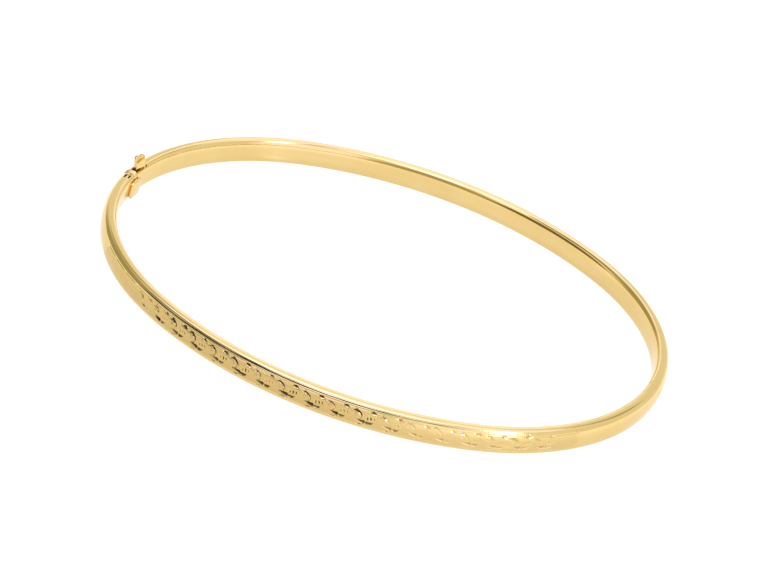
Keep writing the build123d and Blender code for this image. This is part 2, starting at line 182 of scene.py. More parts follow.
def make_world():
    """A white studio: a bright ceiling, pale walls, and the dark shape of the camera stand overhead."""
    world = bpy.data.worlds.new("studio")
    bpy.context.scene.world = world
    world.use_nodes = True
    tree = world.node_tree
    toward = new_node(tree, "ShaderNodeTexCoord").outputs["Generated"]
    split = new_node(tree, "ShaderNodeSeparateXYZ")
    tree.links.new(toward, split.inputs[0])
    angle = new_node(tree, "ShaderNodeMath", operation="ARCSINE")
    tree.links.new(split.outputs["Z"], angle.inputs[0])
    ramp = new_node(tree, "ShaderNodeValToRGB")
    ramp.color_ramp.interpolation = "EASE"
    while len(ramp.color_ramp.elements) < len(STUDIO_BY_ELEVATION):
        ramp.color_ramp.elements.new(SPARE_STOP)
    for stop, (elevation, level) in zip(ramp.color_ramp.elements, STUDIO_BY_ELEVATION):
        stop.position = (elevation + 90) / 180
        stop.color = studio_colour(level)
    tree.links.new(remap(tree, angle.outputs[0], 0, 1, (-pi / 2, pi / 2)), ramp.inputs[0])
    brightness = ramp.outputs[0]
    for azimuth, elevation, whole, faded, level in STUDIO_AREAS:
        facing = new_node(tree, "ShaderNodeVectorMath", operation="DOT_PRODUCT")
        facing.inputs[1].default_value = direction(azimuth, elevation)
        tree.links.new(toward, facing.inputs[0])
        fade = (cos(radians(faded)), cos(radians(whole)))
        inside = remap(tree, facing.outputs["Value"], 0, 1, fade)
        brightness = mix(tree, "RGBA", inside, brightness, studio_colour(level))
    tree.links.new(brightness, tree.nodes["Background"].inputs["Color"])


FLOOR_REACH = 3.0             # metres from the middle to each side
FLOOR_FINISH = {
    "Base Color": (0.15, 0.15, 0.15, 1),
    "Roughness": 0.25,
    "Specular IOR Level": 0.3,
    "Emission Color": (1, 1, 1, 1),
    "Emission Strength": 0.9,
}


def make_floor():
    mesh = bpy.data.meshes.new("floor")
    sides = (-FLOOR_REACH, FLOOR_REACH)
    mesh.from_pydata([(x, y, 0) for x, y in box_corners(sides, sides)], [], [(0, 1, 2, 3)])
    floor = bpy.data.objects.new("floor", mesh)
    bpy.context.scene.collection.objects.link(floor)
    material = bpy.data.materials.new("floor_white")
    material.use_nodes = True
    shader = material.node_tree.nodes["Principled BSDF"]
    for name, value in FLOOR_FINISH.items():
        shader.inputs[name].default_value = value
    mesh.materials.append(material)


def set_view():
    scene = bpy.context.scene
    scene.view_settings.view_transform = "Standard"
    scene.view_settings.exposure = 0.0


# ---------------------------------------------------------------- gold materials

GOLD = (0.77, 0.575, 0.235, 1)
DULLER_GOLD = (GOLD[0] * 0.97, GOLD[1] * 0.93, GOLD[2] * 0.88, 1)
SPECULAR_TINT = (1, 0.97, 0.88, 1)
GROUND_SHADE = (0.62, 0.44, 0.16, 1)
# Painted shade: a dark base colour laid into the deep engraving cuts, in place of the shade that falls
# inside them
CUT_PAINTED_SHADE = (0.07, 0.045, 0.012, 1)

# Noise as scale per metre, detail and, where it isn't even, how far it is drawn out
TONE_NOISE = (260, 3)
SMUDGE_NOISE = (420, 4)
GRAIN_NOISE = (14000, 2)
GRAIN_ROUGHNESS = (0.14, 0.24)
WAVE_NOISE = (300, 2)
SCRATCH_NOISE = (5200, 3, (1, 0.25, 1))
PEEN_NOISE = (6500, 3)
DRAWN_STRETCH = (0.05, 4.5, 1)
DRAWN_DETAIL = 4

# Bump strength, and depth in metres
WAVE_BUMP = (0.06, 0.0004)
DRAWN_BUMP = (0.8, 0.000016)
SCRATCH_BUMP = (0.03, 0.00003)
PEEN_DEPTH = 0.00002

# The two inputs and the output of a Mix node, by what it mixes
MIX_SOCKETS = {"FLOAT": (2, 3, 0), "RGBA": (6, 7, 2)}


def new_node(tree, kind, **values):
    node = tree.nodes.new(kind)
    for name, value in values.items():
        if name in node.inputs:
            node.inputs[name].default_value = value
        else:
            setattr(node, name, value)
    return node


def noise(tree, scale, detail, stretch=(1, 1, 1)):
    """Noise in object space, per metre, drawn out along an axis by a small stretch value."""
    place = new_node(tree, "ShaderNodeTexCoord")
    mapping = new_node(tree, "ShaderNodeMapping")
    mapping.inputs["Scale"].default_value = stretch
    tree.links.new(place.outputs["Object"], mapping.inputs["Vector"])
    texture = new_node(tree, "ShaderNodeTexNoise", Scale=scale, Detail=detail)
    tree.links.new(mapping.outputs[0], texture.inputs["Vector"])
    return texture.outputs["Fac"]


def remap(tree, value, low, high, clamp_from=(0.3, 0.7)):
    spread = new_node(tree, "ShaderNodeMapRange")
    spread.inputs["From Min"].default_value = clamp_from[0]
    spread.inputs["From Max"].default_value = clamp_from[1]
    spread.inputs["To Min"].default_value = low
    spread.inputs["To Max"].default_value = high
    tree.links.new(value, spread.inputs["Value"])
    return spread.outputs[0]


def drawn_lines(tree, stretch, detail):
    """Noise drawn out along the band, from the run and skin distance kept in each band mesh."""
    drawn = new_node(tree, "ShaderNodeAttribute", attribute_name="drawn")
    mapping = new_node(tree, "ShaderNodeMapping")
    mapping.inputs["Scale"].default_value = stretch
    tree.links.new(drawn.outputs["Vector"], mapping.inputs["Vector"])
    texture = new_node(tree, "ShaderNodeTexNoise", Scale=1.0, Detail=detail)
    tree.links.new(mapping.outputs[0], texture.inputs["Vector"])
    return texture.outputs["Fac"]


def feed(tree, value, socket):
    """Links a node's output to an input, or sets the input to a plain value."""
    if isinstance(value, bpy.types.NodeSocket):
        tree.links.new(value, socket)
    else:
        socket.default_value = value


def mix(tree, kind, share, first, second):
    """Goes from the first value to the second by share."""
    node = new_node(tree, "ShaderNodeMix", data_type=kind)
    first_input, second_input, output = MIX_SOCKETS[kind]
    tree.links.new(share, node.inputs[0])
    feed(tree, first, node.inputs[first_input])
    feed(tree, second, node.inputs[second_input])
    return node.outputs[output]


def add_bump(tree, height, strength, distance, beneath=None):
    bump = new_node(tree, "ShaderNodeBump", Distance=distance)
    feed(tree, strength, bump.inputs["Strength"])
    tree.links.new(height, bump.inputs["Height"])
    if beneath is not None:
        tree.links.new(beneath.outputs[0], bump.inputs["Normal"])
    return bump


def gold_material(name, roughness=0.05, wear=0.05, satin=False):
    """Polished yellow gold: faint polishing waves, hairline scratches and slightly uneven tone, and for
    the satin kind a textured ground and painted shade in the deep cuts.
    """
    material = bpy.data.materials.new(name)
    material.use_nodes = True
    tree = material.node_tree
    shader = tree.nodes["Principled BSDF"]
    shader.inputs["Metallic"].default_value = 1.0
    shader.inputs["Specular Tint"].default_value = SPECULAR_TINT

    colour = mix(tree, "RGBA", remap(tree, noise(tree, *TONE_NOISE), 0, 1), GOLD, DULLER_GOLD)
    rough = remap(tree, noise(tree, *SMUDGE_NOISE), roughness, roughness + wear)
    surface = add_bump(tree, noise(tree, *WAVE_NOISE), *WAVE_BUMP)
    surface = add_bump(tree, drawn_lines(tree, DRAWN_STRETCH, DRAWN_DETAIL), *DRAWN_BUMP, surface)
    surface = add_bump(tree, noise(tree, *SCRATCH_NOISE), *SCRATCH_BUMP, surface)
    if satin:
        ground = new_node(tree, "ShaderNodeAttribute", attribute_name="satin").outputs["Fac"]
        # Painted shade: deep cuts take a dark base colour, in place of the shade that falls inside them
        cut_painted_shade = new_node(tree, "ShaderNodeAttribute", attribute_name="cut_painted_shade").outputs["Fac"]
        colour = mix(tree, "RGBA", ground, colour, GROUND_SHADE)
        colour = mix(tree, "RGBA", cut_painted_shade, colour, CUT_PAINTED_SHADE)
        grain = remap(tree, noise(tree, *GRAIN_NOISE), *GRAIN_ROUGHNESS)
        rough = mix(tree, "FLOAT", ground, rough, grain)
        surface = add_bump(tree, noise(tree, *PEEN_NOISE), ground, PEEN_DEPTH, surface)
    tree.links.new(colour, shader.inputs["Base Color"])
    tree.links.new(rough, shader.inputs["Roughness"])
    tree.links.new(surface.outputs[0], shader.inputs["Normal"])
    return material


# ---------------------------------------------------------------- the band's path and section

def outline(run, side):
    """Points and outward normals of the outer outline, at distances along it from the clasp seam."""
    run = np.asarray(run, float)
    mirrored = run > HALF_RUN / 2
    near = np.where(mirrored, HALF_RUN - run, run)
    on_end = near < END_RUN
    turn = np.where(on_end, near / END_RADIUS, JOIN_ANGLE + (near - END_RUN) / SIDE_RADIUS)
    normal_x, normal_y = -np.cos(turn), np.sin(turn)
    radius = np.where(on_end, END_RADIUS, SIDE_RADIUS)
    x = np.where(on_end, -END_OFFSET, 0) + radius * normal_x
    y = np.where(on_end, 0, -SIDE_OFFSET) + radius * normal_y
    flip = np.where(mirrored, -1, 1)
    return np.stack([x * flip, y * side], -1), np.stack([normal_x * flip, normal_y * side], -1)


def box_corners(first, second):
    """The four corners between two pairs of values, in order around."""
    (low, high), (near, far) = first, second
    return [(low, near), (high, near), (high, far), (low, far)]


def place(run, depth, height, side):
    """World points, in metres, for arrays of run, depth and height."""
    points, normals = outline(run, side)
    flat = points - normals * np.asarray(depth)[..., None]
    upright = np.broadcast_to(np.asarray(height, float), flat.shape[:-1])[..., None]
    return np.concatenate([flat, upright], -1) * MM


# How many points each part of the section gets
CAVITY_SHOULDER_STEPS = 6
CAVITY_CROWN_STEPS = 8
WRIST_EDGE_STEPS = 24
WRIST_FACE_STEPS = 8
FRONT_STEPS = (5, 12, 34)     # along the edge, the shoulder and the crown
REAR_STEPS = (5, 12, 20)
WHOLE_STEPS = (4, 14, 20)


def arc(centre_depth, centre_height, radius, start, end, steps):
    """Points (depth, height) and outward normals of an arc; angle 0 points away from the wrist."""
    angles = np.linspace(start, end, steps)
    normals = np.stack([-np.cos(angles), np.sin(angles)], -1)
    return (centre_depth, centre_height) + radius * normals, normals


def wrist_edge(start, end, steps):
    """Soft oval rounding from the rim, at angle 0, to the wrist face, at a quarter turn."""
    angles = np.linspace(start, end, steps)
    depth = EDGE_DEPTH + INNER_EDGE_RADIUS * np.sin(angles)
    height = HEIGHT - EDGE_DROP * (1 - np.cos(angles))
    normals = np.stack([np.sin(angles) / INNER_EDGE_RADIUS, np.cos(angles) / EDGE_DROP], -1)
    return np.stack([depth, height], -1), normals / np.linalg.norm(normals, axis=1)[:, None]


def mirrored(points, normals):
    """The same stretch of section on the lower side, in the order that carries on from the upper one."""
    flip = np.array((1, -1))
    return (points * flip + (0, HEIGHT))[::-1], (normals * flip)[::-1]


def outer_skin(edge_steps, shoulder_steps, crown_steps):
    """The shell's outer face from the upper split over the crown to the lower split."""
    edge = wrist_edge(SPLIT_ANGLE, 0, edge_steps)
    shoulder_height = HEIGHT - SHOULDER_RADIUS
    shoulder = arc(SHOULDER_DEPTH, shoulder_height, SHOULDER_RADIUS, pi / 2, CROWN_ANGLE, shoulder_steps)
    crown = arc(CROWN_RADIUS, MIDDLE, CROWN_RADIUS, CROWN_ANGLE, -CROWN_ANGLE, crown_steps)
    upper = [np.concatenate(pair) for pair in zip(edge, shoulder)]
    lower = mirrored(*upper)
    return [np.concatenate([upper[i], crown[i][1:-1], lower[i]]) for i in (0, 1)]


def cavity_skin():
    """The shell's inner face, from the lower split to the upper one."""
    back = np.array([(SPLIT_DEPTH, HEIGHT - SHELL_WALL)])
    shoulder_height = HEIGHT - SHOULDER_RADIUS
    radius = SHOULDER_RADIUS - SHELL_WALL
    turn = (pi / 2, CROWN_ANGLE, CAVITY_SHOULDER_STEPS)
    shoulder = arc(SHOULDER_DEPTH, shoulder_height, radius, *turn)[0]
    radius = CROWN_RADIUS - SHELL_WALL
    crown = arc(CROWN_RADIUS, MIDDLE, radius, CROWN_ANGLE, -CROWN_ANGLE, CAVITY_CROWN_STEPS)[0]
    upper = np.concatenate([back, shoulder])
    lower = mirrored(upper, upper)[0]
    return np.concatenate([upper, crown[1:-1], lower])[::-1]


def shell_loop(edge_steps, shoulder_steps, crown_steps):
    """Closed loop of the channel: outer face, then back through the cavity, which has no normals."""
    outer, normals = outer_skin(edge_steps, shoulder_steps, crown_steps)
    inner = cavity_skin()
    return np.concatenate([outer, inner]), np.concatenate([normals, np.zeros_like(inner)])


def skin_distance(loop):
    """How far each point of a loop lies along it from the first one."""
    return np.concatenate([[0], np.cumsum(np.hypot(*np.diff(loop, axis=0).T))])


def wrist_skin():
    """The liner's rounded upper edge, its wrist face and its lower edge."""
    edge = wrist_edge(SPLIT_ANGLE, pi / 2, WRIST_EDGE_STEPS)
    half_face = MIDDLE - EDGE_DROP
    heights = np.linspace(half_face, -half_face, WRIST_FACE_STEPS)[1:-1]
    face = np.stack([np.full_like(heights, THICKNESS), heights + MIDDLE], -1)
    inwards = np.tile((1.0, 0.0), (len(heights), 1))
    lower = mirrored(*edge)
    return np.concatenate([edge[0], face, lower[0]]), np.concatenate([edge[1], inwards, lower[1]])


SHARP_ANGLE = radians(35)     # faces that meet at more than this keep a crisp edge
BEVEL_ANGLE = radians(40)     # and at more than this the edge is rounded
BLOCK_STATIONS = 16
BARREL_SIDES = 96
CUTTER_HEIGHTS = (-1, HEIGHT + 1)       # from below the band to above it


def new_object(name, mesh, body, material):
    piece = bpy.data.objects.new(name, mesh)
    bpy.context.scene.collection.objects.link(piece)
    mesh.materials.append(material)
    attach(piece, body)
    return piece


def finish_piece(piece, node):
    """Smooth shading with crisp edges, and the model part that the piece stands in for hidden."""
    mesh = piece.data
    mesh.polygons.foreach_set("use_smooth", [True] * len(mesh.polygons))
    mesh.set_sharp_from_angle(angle=SHARP_ANGLE)
    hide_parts(node)


def face_outwards(mesh):
    solid = bmesh.new()
    solid.from_mesh(mesh)
    bmesh.ops.recalc_face_normals(solid, faces=solid.faces)
    solid.to_mesh(mesh)
    solid.free()


def swept_mesh(name, rings):
    """Mesh of closed rings of points, one ring after another, with a face on each end."""
    stations, around, _ = rings.shape
    index = np.arange(stations * around).reshape(stations, around)
    following = np.roll(index, -1, axis=1)
    quads = np.stack([index[:-1], following[:-1], following[1:], index[1:]], -1).reshape(-1, 4)
    faces = quads.tolist() + [index[0][::-1].tolist(), index[-1].tolist()]
    mesh = bpy.data.meshes.new(name)
    mesh.from_pydata(rings.reshape(-1, 3).tolist(), [], faces)
    face_outwards(mesh)
    return mesh


def band_mesh(name, loop, normals, runs, cuts, side):
    """A section loop carried along the band and moved inwards by cuts, one row of cuts per run."""
    depth = loop[None, :, 0] + normals[None, :, 0] * -cuts
    height = loop[None, :, 1] - normals[None, :, 1] * cuts
    along = np.repeat(runs[:, None], len(loop), 1)
    mesh = swept_mesh(name, place(along, depth, height, side))
    skin = np.broadcast_to(skin_distance(loop), along.shape)
    drawn = np.stack([along, skin, np.zeros(along.shape)], -1)
    layer = mesh.attributes.new("drawn", "FLOAT_VECTOR", "POINT")
    layer.data.foreach_set("vector", drawn.astype(np.float32).reshape(-1))
    return mesh


# How far from an end each of its closer stations is, and how far the section is drawn in there
END_EASE = ((0.0, 0.035), (0.008, 0.018), (0.022, 0.006), (0.045, 0.0))


def band_stations(first, last, spacing):
    """Runs from first to last, with the closer ones that round both ends, and their insets."""
    eased = [(first + along, inset) for along, inset in END_EASE]
    middle = np.arange(first + spacing, last - spacing / 2, spacing)
    eased_end = [(last - along, inset) for along, inset in reversed(END_EASE)]
    runs = [run for run, _ in eased] + middle.tolist() + [run for run, _ in eased_end]
    insets = [inset for _, inset in eased] + [0.0] * len(middle) + [inset for _, inset in eased_end]
    return np.array(runs), np.array(insets)


def shape_with(piece, cutter_mesh, operation="DIFFERENCE"):
    """Takes a solid out of a piece, or keeps only what is inside it."""
    cutter = bpy.data.objects.new("cutter", cutter_mesh)
    bpy.context.scene.collection.objects.link(cutter)
    boolean = piece.modifiers.new("shape", "BOOLEAN")
    boolean.operation = operation
    boolean.solver = "EXACT"
    boolean.object = cutter
    bake_modifiers(piece)
    bpy.data.objects.remove(cutter)


def bake_modifiers(piece):
    shaped = piece.evaluated_get(bpy.context.evaluated_depsgraph_get())
    mesh = bpy.data.meshes.new_from_object(shaped)
    piece.modifiers.clear()
    piece.data = mesh


def block_mesh(runs, depths, heights, side):
    """Closed block of the band between two runs, depths and heights."""
    loop = np.array(box_corners(depths, heights))
    along = np.repeat(np.linspace(*runs, BLOCK_STATIONS)[:, None], len(loop), 1)
    depth = np.broadcast_to(loop[:, 0], along.shape)
    height = np.broadcast_to(loop[:, 1], along.shape)
    return swept_mesh("block", place(along, depth, height, side))


def barrel_mesh(radius, heights):
    """Upright round bar on the hinge pin's axis."""
    angles = np.linspace(0, tau, BARREL_SIDES + 1)[:-1]
    ring = np.stack([PIVOT_X + radius * np.cos(angles), radius * np.sin(angles)], -1)
    rings = [np.insert(ring, 2, height, axis=1) for height in heights]
    return swept_mesh("barrel", np.stack(rings) * MM)


def whole_loop():
    """The band's full section, as if it were solid."""
    outer = outer_skin(*WHOLE_STEPS)
    wrist = wrist_skin()
    return [np.concatenate([outer[i], wrist[i][::-1][1:-1]]) for i in (0, 1)]


def prism(name, corners, offset):
    """Closed prism between a flat outline of world points, in metres, and the same outline moved."""
    corners = np.array(corners)
    return swept_mesh(name, np.stack([corners, corners + np.array(offset)]))


def bevel(piece, width, segments):
    rounding = piece.modifiers.new("bevel", "BEVEL")
    rounding.width = width * MM
    rounding.segments = segments
    rounding.limit_method = "ANGLE"
    rounding.angle_limit = BEVEL_ANGLE
    bake_modifiers(piece)


def merge(piece, other_mesh):
    """Adds another closed solid to a piece, as one object."""
    both = bmesh.new()
    both.from_mesh(piece.data)
    both.from_mesh(other_mesh)
    both.to_mesh(piece.data)
    both.free()


# ---------------------------------------------------------------- engraving

PANEL = (16.3, 78.6)          # runs between which the front half is engraved
BORDER = 1.27                 # distance along the skin from the crown's middle to the outer groove
BORDER_GAP = 0.33             # between the two grooves of the border
BORDER_GROOVE = (0.07, 0.035)           # half width and depth
GROUND_INSET = 0.1            # from the inner groove to where the textured ground starts
GROUND_FADE = 0.12
GROUND_DEPTH = 0.012
REPEAT = 2.75                 # length of one repeat of the scroll
CUT_WIDENING = 1.3
CUT_REACH = 2.4               # no cut of a scroll goes further along the band from its centre
DEEPEST_CUT = 0.19
GROUND_RUNS = (17, 26, 50, 60)          # how strongly the ground is textured along the panel
GROUND_LEVELS = (0.8, 1.0, 1.0, 0.35)
CUT_SHADE_RUNS = (17, 25, 54, 61)          # how strongly the deep cuts get painted shade along the panel
CUT_SHADE_LEVELS = (0.35, 1.0, 1.0, 0.3)
CUT_SLOPE = 1.0
# How deeply the scroll is cut along the panel: boldest on the clasp side of the middle
SCROLL_RUNS = (PANEL[0], 24, 27, 31, 55, 59, 63, 66, PANEL[1])
SCROLL_STRENGTHS = (0.15, 0.25, 0.6, 1.0, 1.0, 0.55, 0.5, 0.8, 0.7)
SCROLL_MARGINS = (2.2, 2.4)   # from the panel's ends to the first and the last scroll
END_CUT_MARGINS = (0.9, 1.9)
END_CUT_STRENGTH = 0.8
STROKE_POINTS = 40

# The hand's unevenness, from one scroll to the next and from one cut to the next
HAND_SEED = 7
HAND_STRENGTH = (0.85, 1.12)
HAND_TILT = (-0.05, 0.05)
HAND_SHIFT = (-0.06, 0.06)
HAND_WIDTH = (0.85, 1.15)


def groove(distance, half_width, depth):
    """Round-bottomed groove at distance zero."""
    return depth * np.clip(1 - (distance / half_width) ** 2, 0, 1)


def stroke(points, half_widths):
    """A graver's cut along a smooth curve through a few points: its centres and half widths."""
    points = np.array(points, float)
    knots = np.linspace(0, 1, len(points))
    at = np.linspace(0, 1, STROKE_POINTS)
    curve = np.vander(at, len(points)) @ np.linalg.solve(np.vander(knots, len(points)), points)
    return curve, np.interp(at, np.linspace(0, 1, len(half_widths)), half_widths)


# One repeat of the running scroll, as (along the band, up the skin)
SCROLL = (
    # stem that arches over and curls down into a small loop
    stroke([(-1.05, 0.52), (-0.5, 0.68), (-0.02, 0.46), (0.14, 0.1)], [0.03, 0.13, 0.12, 0.06]),
    stroke([(0.14, 0.1), (0.0, -0.04), (-0.18, 0.12)], [0.07, 0.07, 0.04]),
    stroke([(-0.75, 0.22), (-0.5, 0.3), (-0.3, 0.14)], [0.02, 0.08, 0.03]),
    # the two broad cuts that face each other below it
    stroke([(-0.62, -0.2), (0.0, -0.34), (0.42, -0.4)], [0.02, 0.13, 0.19]),
    stroke([(0.78, -0.46), (1.1, -0.42), (1.6, -0.2)], [0.16, 0.13, 0.02]),
    # leaf with its ribs
    stroke([(0.56, 0.34), (0.78, 0.1), (0.7, -0.16)], [0.03, 0.1, 0.04]),
    stroke([(0.86, 0.46), (1.1, 0.16), (1.04, -0.12)], [0.03, 0.11, 0.04]),
    stroke([(1.2, 0.48), (1.42, 0.2), (1.36, -0.04)], [0.03, 0.1, 0.04]),
    # long lens on the upper row, and the short cut on the lowest one
    stroke([(0.7, 0.8), (1.2, 0.86), (1.66, 0.7)], [0.02, 0.16, 0.04]),
    stroke([(-0.4, -0.76), (0.05, -0.82), (0.5, -0.72)], [0.02, 0.09, 0.02]),
)
# Single bright cuts that start and end the panel
END_CUTS = (
    stroke([(0.0, 0.5), (0.3, 0.1), (0.1, -0.3)], [0.03, 0.12, 0.03]),
    stroke([(0.5, -0.1), (0.9, -0.3)], [0.03, 0.14]),
)


def cut_strokes(depth, runs, skin, centre_run, strokes, strength):
    """Deepens the grid where a graver's cuts, given about a run, go below what is there."""
    rows = np.flatnonzero(np.abs(runs - centre_run) < CUT_REACH)
    window = depth[rows]
    for centres, half_widths in strokes:
        for (along, across), half_width in zip(centres, half_widths):
            away = np.hypot(runs[rows][:, None] - centre_run - along, skin[None] - across)
            window = np.maximum(window, (half_width - away) * CUT_SLOPE * strength)
    depth[rows] = window


def uneven_scroll(chance):
    """The scroll as one go of the hand leaves it: tilted a little, with its cuts wider or narrower."""
    tilt = chance.uniform(*HAND_TILT)
    shift = chance.uniform(*HAND_SHIFT)
    cuts = []
    for centres, half_widths in SCROLL:
        along, across = centres.T
        turned = np.stack([along - tilt * across, across + tilt * along], -1)
        cuts.append((turned, half_widths * CUT_WIDENING * chance.uniform(*HAND_WIDTH)))
    return cuts, shift


def engrave(runs, skin):
    """Depth of the engraving at each run and skin distance, and how satin the ground is there."""
    half_length = (PANEL[1] - PANEL[0]) / 2
    beyond = np.maximum(np.abs(runs - sum(PANEL) / 2) - (half_length - BORDER), 0)[:, None]
    edge = np.hypot(beyond, skin[None]) - BORDER
    depth = groove(edge, *BORDER_GROOVE)
    depth = np.maximum(depth, groove(edge + BORDER_GAP, *BORDER_GROOVE))
    satin = np.clip((-edge - BORDER_GAP - GROUND_INSET) / GROUND_FADE, 0, 1)
    depth = np.maximum(depth, satin * GROUND_DEPTH)
    satin = satin * np.interp(runs, GROUND_RUNS, GROUND_LEVELS)[:, None]

    chance = np.random.default_rng(HAND_SEED)
    for run in np.arange(PANEL[0] + SCROLL_MARGINS[0], PANEL[1] - SCROLL_MARGINS[1], REPEAT):
        strength = np.interp(run, SCROLL_RUNS, SCROLL_STRENGTHS) * chance.uniform(*HAND_STRENGTH)
        cuts, shift = uneven_scroll(chance)
        cut_strokes(depth, runs, skin, run + shift, cuts, strength)
    for run in (PANEL[0] + END_CUT_MARGINS[0], PANEL[1] - END_CUT_MARGINS[1]):
        cut_strokes(depth, runs, skin, run, END_CUTS, END_CUT_STRENGTH)
    return np.minimum(depth, DEEPEST_CUT), satin


# ---------------------------------------------------------------- the band

PIVOT_DEPTH = 0.56
PIVOT_X = HALF_LENGTH - PIVOT_DEPTH
RELIEF_RADIUS = 0.64
COLLAR_RUNS = (0.04, 0.78)    # on the front half
COLLAR_BEADS = (0.225, 0.595)
BEAD_HALF_WIDTH = 0.185
BEAD_HEIGHT = 0.12            # over the hollows beside the beads, and over the upper rim
COLLAR_STATIONS = 41
# Openings as runs, depths and heights: the rim slots of both halves, the step beneath the tab's foot in
# the rear wrist strip, and the passage for the tongue through the collar
RIM_CUT_HEIGHTS = (HEIGHT - 2 * SHELL_WALL, 2 * HEIGHT)
FRONT_OPENING = ((1.35, 2.15), (0.58, 1.22), RIM_CUT_HEIGHTS)
REAR_OPENING = ((-0.1, 2.6), (0.58, 1.4), RIM_CUT_HEIGHTS)
NOTCH = ((-0.1, 2.6), (1.0, 1.7), (HEIGHT - 0.2, 2 * HEIGHT))
COLLAR_PASSAGE = ((-1, 1.5), (0.5, 1.3), (MIDDLE - 1.02, MIDDLE + 1.02))

FRONT_SPACING = 0.065         # between stations, where the front half is engraved
COARSE_STEP = 5               # elsewhere only one station in so many is kept
CLOSE_STATIONS = 6            # and the ones that round each end
PANEL_MARGIN = 0.4            # how far past the panel the close spacing goes
PLAIN_SPACING = 0.35
SATIN_DEPTHS = (0.02, 0.03)   # the satin starts to go at the first depth, and is gone the second deeper
CUT_SHADE_DEPTHS = (0.045, 0.06)           # the painted shade in the cuts starts and becomes whole in the same way


def add_point_values(mesh, name, values):
    layer = mesh.attributes.new(name, "FLOAT", "POINT")
    layer.data.foreach_set("value", values.astype(np.float32).reshape(-1))


def front_stations():
    """Close stations along the engraved panel and at the ends, and wider ones between."""
    runs, insets = band_stations(COLLAR_RUNS[1], HALF_RUN - SEAM / 2, FRONT_SPACING)
    order = np.arange(len(runs))
    wanted = (runs > PANEL[0] - PANEL_MARGIN) & (runs < PANEL[1] + PANEL_MARGIN)
    wanted |= order % COARSE_STEP == 0
    wanted |= (order < CLOSE_STATIONS) | (order >= len(runs) - CLOSE_STATIONS)
    return runs[wanted], insets[wanted]


def front_shell(material):
    """Engraved shell of the front half, which keeps how satin each point is and how much painted shade
    it gets.
    """
    loop, normals = shell_loop(*FRONT_STEPS)
    outer = len(outer_skin(*FRONT_STEPS)[0])
    steps = skin_distance(loop[:outer])
    runs, insets = front_stations()
    depth, satin = engrave(runs, steps[-1] / 2 - steps)
    cuts = np.zeros((len(runs), len(loop)))
    cuts[:, :outer] = depth
    cuts = np.maximum(cuts, insets[:, None])
    mesh = band_mesh("engraved_front_shell", loop, normals, runs, cuts, FRONT)
    ground = np.zeros(cuts.shape)
    ground[:, :outer] = satin * np.clip(1 - (depth - SATIN_DEPTHS[0]) / SATIN_DEPTHS[1], 0, 1)
    add_point_values(mesh, "satin", ground)
    # Painted shade in the deep cuts, by cut depth and along the panel
    cut_painted_shade = np.zeros(cuts.shape)
    darkness = np.interp(runs, CUT_SHADE_RUNS, CUT_SHADE_LEVELS)[:, None]
    cut_painted_shade[:, :outer] = np.clip((depth - CUT_SHADE_DEPTHS[0]) / CUT_SHADE_DEPTHS[1], 0, 1) * darkness
    add_point_values(mesh, "cut_painted_shade", cut_painted_shade)
    piece = new_object("engraved_front_shell", mesh, "front_half", material)
    shape_with(piece, barrel_mesh(RELIEF_RADIUS, CUTTER_HEIGHTS))
    shape_with(piece, block_mesh(*FRONT_OPENING, FRONT))
    finish_piece(piece, "front_shell")


def plain_band(name, section, first, side, body, material):
    """A section carried evenly along one half, with both ends rounded."""
    loop, normals = section
    runs, insets = band_stations(first, HALF_RUN - SEAM / 2, PLAIN_SPACING)
    cuts = np.repeat(insets[:, None], len(loop), 1)
    return new_object(name, band_mesh(name, loop, normals, runs, cuts, side), body, material)


def rear_shell(material):
    section = shell_loop(*REAR_STEPS)
    piece = plain_band("plain_rear_shell", section, SEAM / 2, REAR, "rear_half", material)
    shape_with(piece, barrel_mesh(RELIEF_RADIUS, CUTTER_HEIGHTS))
    shape_with(piece, block_mesh(*REAR_OPENING, REAR))
    finish_piece(piece, "rear_shell")


def wrist_strip(name, node, body, side, first, material):
    piece = plain_band(name, wrist_skin(), first, side, body, material)
    if side == REAR:
        shape_with(piece, block_mesh(*NOTCH, REAR))
    finish_piece(piece, node)


# ---------------------------------------------------------------- clasp and hinge

def collar(material):
    """Two beads side by side around the front half's end, raised a little on the upper rim."""
    loop, normals = whole_loop()
    runs = np.linspace(*COLLAR_RUNS, COLLAR_STATIONS)
    nearest = np.min([np.abs(runs - bead) for bead in COLLAR_BEADS], axis=0) / BEAD_HALF_WIDTH
    swell = np.sqrt(np.clip(1 - nearest**2, 0, 1))[:, None]
    raised = BEAD_HEIGHT * np.clip(normals[:, 1], 0, 1)
    cuts = BEAD_HEIGHT * (1 - swell) - swell * raised
    mesh = band_mesh("beaded_collar", loop, normals, runs, cuts, FRONT)
    piece = new_object("beaded_collar", mesh, "front_half", material)
    shape_with(piece, block_mesh(*COLLAR_PASSAGE, FRONT))
    finish_piece(piece, "front_clasp_collar")


CORNER_POINTS = 9
GUARD_RUNS = (-1.9, 0.45)
GUARD_HEIGHTS = (MIDDLE - 1.15, MIDDLE + 0.9)
GUARD_CORNER = 0.5
GUARD_DEPTH = THICKNESS + 0.01
GUARD_THICKNESS = 0.36
GUARD_BEVEL = (0.2, 6)        # width and segments, as for every bevel


def at_clasp(depth, run, height):
    """World point, in metres, near the clasp, where the band is taken as straight."""
    return ((-HALF_LENGTH + depth) * MM, run * MM, height * MM)


def rounded_rectangle(first, second, radius):
    """Corner points of a rounded rectangle, counter-clockwise from the far right."""
    (left, right), (low, high) = first, second
    centres = (
        (right - radius, high - radius),
        (left + radius, high - radius),
        (left + radius, low + radius),
        (right - radius, low + radius),
    )
    points = []
    for quarter, (centre_x, centre_y) in enumerate(centres):
        for angle in np.linspace(quarter * pi / 2, (quarter + 1) * pi / 2, CORNER_POINTS):
            points.append((centre_x + radius * cos(angle), centre_y + radius * sin(angle)))
    return points


